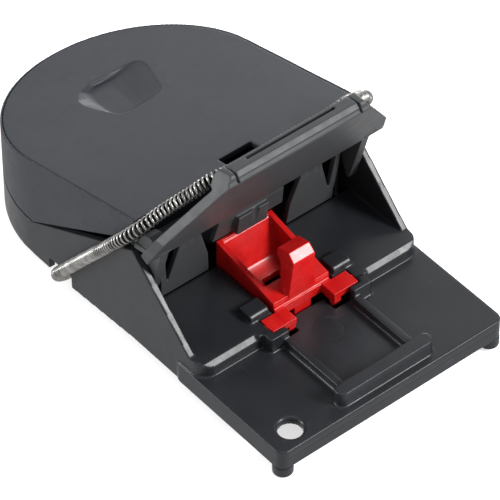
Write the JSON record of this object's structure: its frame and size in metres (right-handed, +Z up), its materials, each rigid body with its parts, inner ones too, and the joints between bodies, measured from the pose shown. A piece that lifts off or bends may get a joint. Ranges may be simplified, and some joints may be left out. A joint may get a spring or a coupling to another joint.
{
  "type": "snap mouse trap",
  "caption": "Press-to-set snap mouse trap with a D-shaped thumb lever, slanted striking jaw, trigger with bait cup and a ring coil spring, shown set.",
  "frame": {"origin": "middle of the footprint on the surface the trap stands on", "axes": "+X is right, +Y points from the open mouth to the rear thumb pad, +Z is up; the middle plane is X = 0"},
  "size_m": [0.0594, 0.1011, 0.0492],
  "materials": {
    "black_plastic": "satin",
    "charcoal_plastic": "satin, finely grained",
    "red_plastic": "gloss",
    "spring_steel": "bright drawn wire"
  },
  "bodies": {
    "base": {"base_shell": "black_plastic", "strike_frame": "black_plastic", "trigger_clips": "black_plastic", "pivot_posts": "black_plastic", "foot_studs": "black_plastic", "spring": "spring_steel"},
    "lever": {"lever_shell": "charcoal_plastic", "press_pad": "charcoal_plastic", "jaw": "black_plastic", "pivot_pins": "spring_steel"},
    "trigger": {"trigger": "red_plastic", "trigger_leaf": "red_plastic"}
  },
  "joints": [
    {"name": "lever_pivot", "type": "hinge", "parent": "base", "child": "lever", "pos_m": [0, -0.0062, 0.0264], "axis": [1, 0, 0], "range_deg": [0, 54], "deforming": ["spring"]},
    {"name": "trigger_pivot", "type": "hinge", "parent": "base", "child": "trigger", "pos_m": [0, -0.0262, 0.0092], "axis": [1, 0, 0], "range_deg": [-5, 0], "stiffness_Nm_per_rad": 0.01, "springref_deg": 5.73, "deforming": ["trigger_leaf"]}
  ]
}
